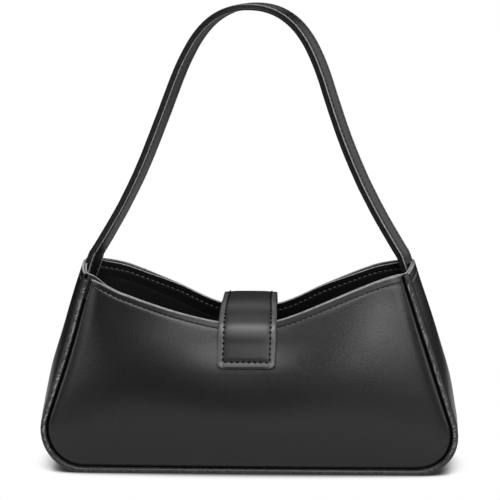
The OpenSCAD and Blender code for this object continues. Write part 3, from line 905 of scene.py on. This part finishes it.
def over_seam(side, p, out, a, b):
    """Points a outward of the path p and b below the seam edge's face."""
    q = p + out * a[..., None]
    y = side * (half_depth(q[:, 1]) - b)
    return np.stack([q[:, 0], y, np.maximum(q[:, 1], 0.02)], -1)


def chance(k, pace, row, seed):
    """Smooth noise along a row of pieces: k counts them, pace sets how fast it changes."""
    return noise.noise(Vector((k * pace, row, seed)))


def seam_fibres(name, side, p, run, out):
    """Short stitch fibres on the seam edge beside the panel, close together and uneven. Their
    light grey is partly a painted highlight of the stitches.
    """
    angles = np.linspace(0, 2 * math.pi, FIBRE_SIDES, endpoint=False)
    shares = np.array([share for _, _, share in FIBRE])
    length = run[-1] - 2 * FIBRE_END
    count = int(length / FIBRE_PITCH)
    points, faces = [], []
    for k in range(count):
        start = FIBRE_END + (k + 0.5 + chance(k, 0.73, side * 9.0, 1.5)) * length / count
        if np.interp(start, run, p[:, 1]) < FIBRE_FROM_Z:
            continue
        slant = 1.6 + 3.0 * chance(k, 0.61, side * 2.0, 8.5)
        reach = 1 + 0.9 * chance(k, 0.47, side * 3.0, 11.5)
        line = []
        for j, (a, b, _) in enumerate(FIBRE):
            s = start + (j / (len(FIBRE) - 1) - 0.5) * slant
            at = np.array([[np.interp(s, run, p[:, 0]), np.interp(s, run, p[:, 1])]])
            d = unit(np.array([[np.interp(s, run, out[:, 0]), np.interp(s, run, out[:, 1])]]))
            a = FIBRE[0][0] + (a - FIBRE[0][0]) * reach
            line.append(over_seam(side, at, d, np.array([a]), b)[0])
        line = sag(np.array(line))
        t = unit(np.gradient(line, axis=0))
        u = unit(np.cross(t, np.array([0.0, float(side), 0.0]) + 1e-3))
        v = np.cross(u, t)
        r = (0.22 + 0.25 * chance(k, 0.37, side * 4.0, 6.5)) * shares
        faces += tube_faces(len(points), len(FIBRE), FIBRE_SIDES)
        for j in range(len(FIBRE)):
            for a in angles:
                points.append(line[j] + r[j] * (u[j] * math.cos(a) + v[j] * math.sin(a)))
    return add_object(name, points, faces, [SEAM_THREAD_HIGHLIGHT])


seam, run = resampled(full_outline(BODY_H, base=70), SEAM_STEPS)
out = out_dir(seam)
for side, word in ((-1, "front"), (1, "back")):
    rings = []
    for k, (a, b) in enumerate(WELT_PROFILE):
        rough = np.array([chance(q, 0.9, k * 3.1, side * 5.0) for q in run])
        amount = 0.14 if a > -1 else 0.07
        rings.append(over_seam(side, seam, out, a - np.abs(rough) * amount,
                               b + rough * amount))
    rings = np.stack(rings, 1)
    if side > 0:
        rings = rings[:, ::-1]
    place(loft(word + "_seam_edge", sag(rings), [WELT_PAINT], [0] * len(WELT_PROFILE)),
          "welt_leather", word + "_welt")
    place(seam_fibres(word + "_seam_stitches", side, seam, run, out), "welt_leather")


# ---- Strap ----

CROWN_Z = BODY_H + STRAP_DROP
# How deep the strap's inside end lies, and the point where it leaves the mouth
TAIL_DEPTH = (GUSSET_T + PLY + FACING_T + PLY
              + GUSSET_PUFF * (STRAP_W / 2 / (float(half_depth(BODY_H)) - GUSSET_MARGIN)) ** 2)
FOOT = (np.array([float(outline_x(BODY_H)), BODY_H])
        + LEAN_OUT * (GUSSET_PUFF - TAIL_DEPTH - STRAP_T / 2) + LEAN_UP * FOLD_RISE)
# Directions of the strap at its foot and at its shoulder, in degrees from upright, and
# the pulls of its curves
FOOT_LEAN, SHOULDER_LEAN, LIMB_PULL, CROWN_PULL = 32, 19, 47, 28
# The height that the strap's turn begins at and its reach
TURN_FROM, TURN_REACH = 106, 22
# Extra turn of the left end, and how far the crown moves to the right and up
LEFT_TURN, CROWN_RIGHT, CROWN_UP = 4.0, 1.8, 1.2


def leaning(degrees):
    return np.array([-math.sin(math.radians(degrees)), math.cos(math.radians(degrees))])


def strap_centre():
    """The strap's middle line as (x, z), from one inside end over the crown to the other."""
    shoulder = np.array([SHOULDER_X, CROWN_Z - SHOULDER_Z])
    top = np.array([0.0, CROWN_Z])
    tail = STRAP_W / 2 / math.cos(LEAN) + 0.3 + STRAP_TAIL
    down = FOOT - tail * np.linspace(1, 0, 22)[:-1, None] * LEAN_UP
    limb = bezier(FOOT, FOOT + LIMB_PULL * leaning(FOOT_LEAN),
                  shoulder - LIMB_PULL * leaning(SHOULDER_LEAN), shoulder,
                  np.linspace(0, 1, 60))
    crown = bezier(shoulder, shoulder + CROWN_PULL * leaning(SHOULDER_LEAN),
                   top + [CROWN_PULL, 0], top, np.linspace(0, 1, 44))[1:]
    half = np.concatenate([down, limb, crown])
    return np.concatenate([half, (half * [-1, 1])[::-1][1:]])


def strap_frames():
    """The strap's middle points, with the directions across it and out of its face."""
    line = strap_centre()
    z = line[:, 1]
    c = np.stack([line[:, 0], 0 * z, z], -1)
    t = unit(np.gradient(c, axis=0))
    # The strap turns as it leaves the mouth, the left end a little further
    turn = STRAP_TURN + 3.5 + 1.5 * ramp(line[:, 0], -30, 60)
    turn = turn + np.where(line[:, 0] < 0, LEFT_TURN, 0.0) * (1 - ramp(z, 130, 45))
    a = -np.radians(turn) * ramp(z, TURN_FROM, TURN_REACH)
    w = np.stack([-np.sin(a), np.cos(a), 0 * a], -1)
    w = unit(w - (w * t).sum(-1)[:, None] * t)
    n = np.cross(w, t)
    # The crown leans a little to the right, as photographed
    c[:, 0] += CROWN_RIGHT * ramp(z, 205, 90)
    c[:, 2] += CROWN_UP * ramp(z, 255, 40)
    return c, w, n


# Half of the profile across the strap as (across, through), from the outer face round
# the edge to the inner face, with a groove at each glued layer
EDGE_PROFILE = [(6.6, 1.8), (7.3, 1.78), (7.75, 1.62), (7.97, 1.25), (8.0, 0.8), (7.88, 0.5),
                (7.7, 0.38), (7.86, 0.26), (7.86, -0.2), (7.7, -0.32), (7.88, -0.44),
                (8.0, -0.8), (7.97, -1.25), (7.75, -1.62), (7.3, -1.78), (6.6, -1.8)]
# Places across a face, with the stitch rows at the third place from each edge
FACE_ACROSS = [6.1, 5.95, 5.6, 5.25, 5.1, 3.6, 1.5, -1.5, -3.6, -5.1, -5.25, -5.6, -5.95, -6.1]
# The built strap is a little fuller than its profile, and uneven in width and in depth
FULLER, WIDTH_NOISE, DEPTH_NOISE = 1.1, 0.012, 0.12


def face_height(a):
    """The faces are a little full between the stitch rows and pressed in at them."""
    row = abs(abs(a) - STRAP_ROW)
    full = 0.16 * (1 - (min(abs(a), STRAP_ROW) / STRAP_ROW) ** 2)
    return full - (0.2 if row < 0.1 else 0.1 if row < 0.4 else 0.0)


def make_strap():
    c, w, n = strap_frames()
    thick = STRAP_T / 2
    profile = list(EDGE_PROFILE)
    profile += [(a, -thick - face_height(a)) for a in FACE_ACROSS]
    profile += [(-a, b) for a, b in reversed(EDGE_PROFILE)]
    profile += [(-a, thick + face_height(a)) for a in FACE_ACROSS]
    edge, face = len(EDGE_PROFILE), len(FACE_ACROSS)
    which = [2] * (edge - 1) + [1] * (face + 1) + [2] * (edge - 1) + [0] * (face + 1)
    # Each edge ends in a thin light line where it meets the faces, a painted highlight on the
    # rounded corner
    for first in (0, edge + face):
        for k in (first, first + 1, first + edge - 3, first + edge - 2):
            which[k] = 3
    swell = np.array([chance(k, 0.21, 2.0, 7.0) for k in range(len(c))])
    wavy = np.array([chance(k, 0.16, 9.0, 3.0) for k in range(len(c))])
    rings = [c + w * (a * (1 + WIDTH_NOISE * swell))[:, None]
             + n * (FULLER * b + DEPTH_NOISE * wavy)[:, None] for a, b in profile]
    strap = loft("strap_leather", np.stack(rings, 1),
                 [STRAP_LEATHER, STRAP_LEATHER, EDGE_PAINT, STRAP_EDGE_HIGHLIGHT], which)
    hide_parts("strap_outer", "strap_core", "strap_lining", "left_strap_end",
                "right_strap_end")
    rows = []
    keep = slice(4, -4)
    for a in (-STRAP_ROW, STRAP_ROW):
        for s in (-1, 1):
            row = c + w * a + n * (s * thick + DEPTH_NOISE * wavy)[:, None]
            rows.append((row[keep], s * n[keep]))
    seams = stitches("strap_stitches", rows, radius=0.3, pitch=SHORT_STITCH, sides=6)
    for piece in (strap, seams):
        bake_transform(piece)


make_strap()


# ---- Closure tab ----

MID_Z = float(rim_z(0.0))
TIP_Z = MID_Z - TAB_DROP
# Where the tab lies flat on the front again, and the top of its arch as (y, z)
HANG_Z = TIP_Z + 16.0
CREST = np.array([2.0, 105.8])
TAB_STEPS = 150
# The tip's border curls up by this much over this length, its corners are rounded, and the
# tab leans to the left as it comes down
CURL, CURL_LENGTH, TIP_ROUND, TAB_LEAN = 0.7, 5.5, 3.0, -0.03


def tab_face(z):
    """How far the tab's inner side stands from the middle plane."""
    return max(float(face_depth(0.0, z)), float(face_depth(TAB_TIP_W / 2, z))) + TAB_GAP


def tab_centre_line():
    """The tab's inner side as (y, z): up the back, over the mouth and down the front."""
    below = MID_Z - TAB_HINGE_Z
    arch_z = float(rim_z(TAB_TIP_W / 2)) + PLY
    back = [(tab_face(z), z) for z in np.linspace(below - TAB_BACK, arch_z - 1, 32)]
    foot = np.array(back[-1])
    rise = bezier(foot, foot + [0.6, 6.5], CREST + [17.0, 0.4], CREST, np.linspace(0, 1, 24))[1:]
    hang = np.array([-tab_face(HANG_Z), HANG_Z])
    fall = bezier(CREST, CREST - [18.0, 0.4], hang + [1.0, 16.5], hang, np.linspace(0, 1, 34))[1:]
    rest = [(-tab_face(z), z) for z in np.linspace(HANG_Z - 1, TIP_Z, 16)]
    line, run = resampled(np.concatenate([back, rise, fall, rest]), TAB_STEPS)
    for _ in range(5):
        line[1:-1] = (line[:-2] + 2 * line[1:-1] + line[2:]) / 4
    line[:, 0] -= CURL * smooth((run - run[-1] + CURL_LENGTH) / CURL_LENGTH) ** 2
    return line, run


# Half of the profile across the tab's edge as (across, through), from the outer face round
# to the inner face, with a groove at each glued layer
TAB_EDGE = [(-2.4, TAB_T + 0.02), (-1.3, TAB_T - 0.02), (-0.55, TAB_T - 0.12),
            (-0.12, TAB_T - 0.4), (0.0, TAB_T - 0.8), (-0.1, TAB_T - 1.1), (-0.3, TAB_T - 1.25),
            (-0.1, TAB_T - 1.4), (-0.1, 1.1), (-0.3, 0.95), (-0.1, 0.8), (0.0, 0.4),
            (-0.55, 0.04), (-1.3, 0.0)]
# The outer face: a pressed border, a groove at the stitches and a full middle, each as
# (distance from the edge, height)
TAB_FACE = [(TAB_ROW - 0.9, 0.02), (TAB_ROW - 0.35, -0.03), (TAB_ROW, -0.1),
            (TAB_ROW + 0.35, -0.02), (TAB_ROW + 1.0, 0.12), (TAB_ROW + 2.4, 0.3),
            (TAB_ROW + 5.0, 0.42)]
TAB_FULL, TAB_ROW_DEPTH, INNER_STEPS = 0.5, 0.12, 13


def make_tab():
    line, run = tab_centre_line()
    d = unit(np.gradient(line, axis=0))
    n = np.stack([d[:, 1], -d[:, 0]], -1)
    total = run[-1]
    down = np.maximum(0, MID_Z + 4 - line[:, 1]) * (line[:, 0] < 0)
    # It widens towards the tip
    wide = TAB_TOP_W / 2 - 0.3 + (TAB_TIP_W - TAB_TOP_W + 0.6) / 2 * ramp(
        run, total * 0.52, total * 0.3)
    full = wide.copy()
    for dist in (run, total - run):
        cut = np.clip((TIP_ROUND - dist) / TIP_ROUND, 0, 1)
        wide = wide - TIP_ROUND * (1 - np.sqrt(np.maximum(0, 1 - cut ** 2)))
    lean_x = TAB_LEAN * down

    def spot(x, off):
        return np.stack([x + lean_x, line[:, 0] + n[:, 0] * off, line[:, 1] + n[:, 1] * off], -1)

    half = [(full - a, b) for a, b in TAB_FACE]
    near_end = np.minimum(run, total - run)
    row_end = TAB_ROW_DEPTH * np.exp(-((near_end - TAB_ROW) / 0.5) ** 2)
    swell = ramp(near_end, TAB_ROW, 3.0)
    edge = len(TAB_EDGE)
    rings = [spot(wide + a, b) for a, b in TAB_EDGE]
    rings += [spot((wide - 1.3) * u, 0.0) for u in np.linspace(0.9, -0.9, INNER_STEPS)]
    rings += [spot(-(wide + a), b) for a, b in reversed(TAB_EDGE)]
    border = len(rings)
    for sign, spots in ((-1, half), (0, [(0 * full, TAB_FULL)]), (1, half[::-1])):
        for a, b in spots:
            x = np.minimum(a, wide - 2.6) if sign else a
            lift = TAB_T + (b * swell if b > 0 else b) - row_end * (1 if b > -0.05 else 0.3)
            rings.append(spot(sign * x, lift))
    which = [2] * (edge - 1) + [1] * (INNER_STEPS + 1) + [2] * edge + [0] * (len(rings) - border)
    # The border outside the stitches is painted lighter, a painted highlight where it bends away
    # and catches the light
    for k in (-2, -1, 0, 1, 2, 3, *range(border - 4, border + 2)):
        which[k] = 3
    tab = loft("tab_leather", np.stack(rings, 1),
               [TAB_LEATHER, FACING_LEATHER, EDGE_PAINT, TAB_BORDER_HIGHLIGHT], which)
    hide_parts("tab_outer", "tab_lining", "tab_back", "tab_stiffener")

    # A row of stitches along each side and across each end
    k = (run > TAB_ROW - 0.3) & (run < total - TAB_ROW + 0.3)
    up = np.stack([0 * run, n[:, 0], n[:, 1]], -1)
    rows = [(spot(s * (full - TAB_ROW), TAB_T - TAB_ROW_DEPTH)[k], up[k]) for s in (-1, 1)]
    for dist in (total - TAB_ROW, TAB_ROW):
        e = int(np.argmin(np.abs(run - dist)))
        x = np.linspace(-1, 1, 24) * (full[e] - TAB_ROW)
        y, z = line[e] + n[e] * (TAB_T - 0.1)
        rows.append((np.stack([x + lean_x[e], np.full(24, y), np.full(24, z)], -1),
                     np.tile(up[e], (24, 1))))
    # The thread is near black and matt, painted shade for the sunk stitch holes.
    seams = stitches("tab_stitches", rows, length=2.2, radius=0.6, pitch=SHORT_STITCH,
                     mat=TAB_THREAD_SHADE)
    for piece in (tab, seams):
        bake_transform(piece)


make_tab()

# ---- Inner pieces that keep their CAD shape ----

for node, mat in (("base_board", BOARD), ("panel_magnet", PLATED), ("tab_magnet", PLATED)):
    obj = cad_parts[node]
    if not obj.material_slots:
        obj.data.materials.append(mat)
    for slot in obj.material_slots:
        slot.material = mat
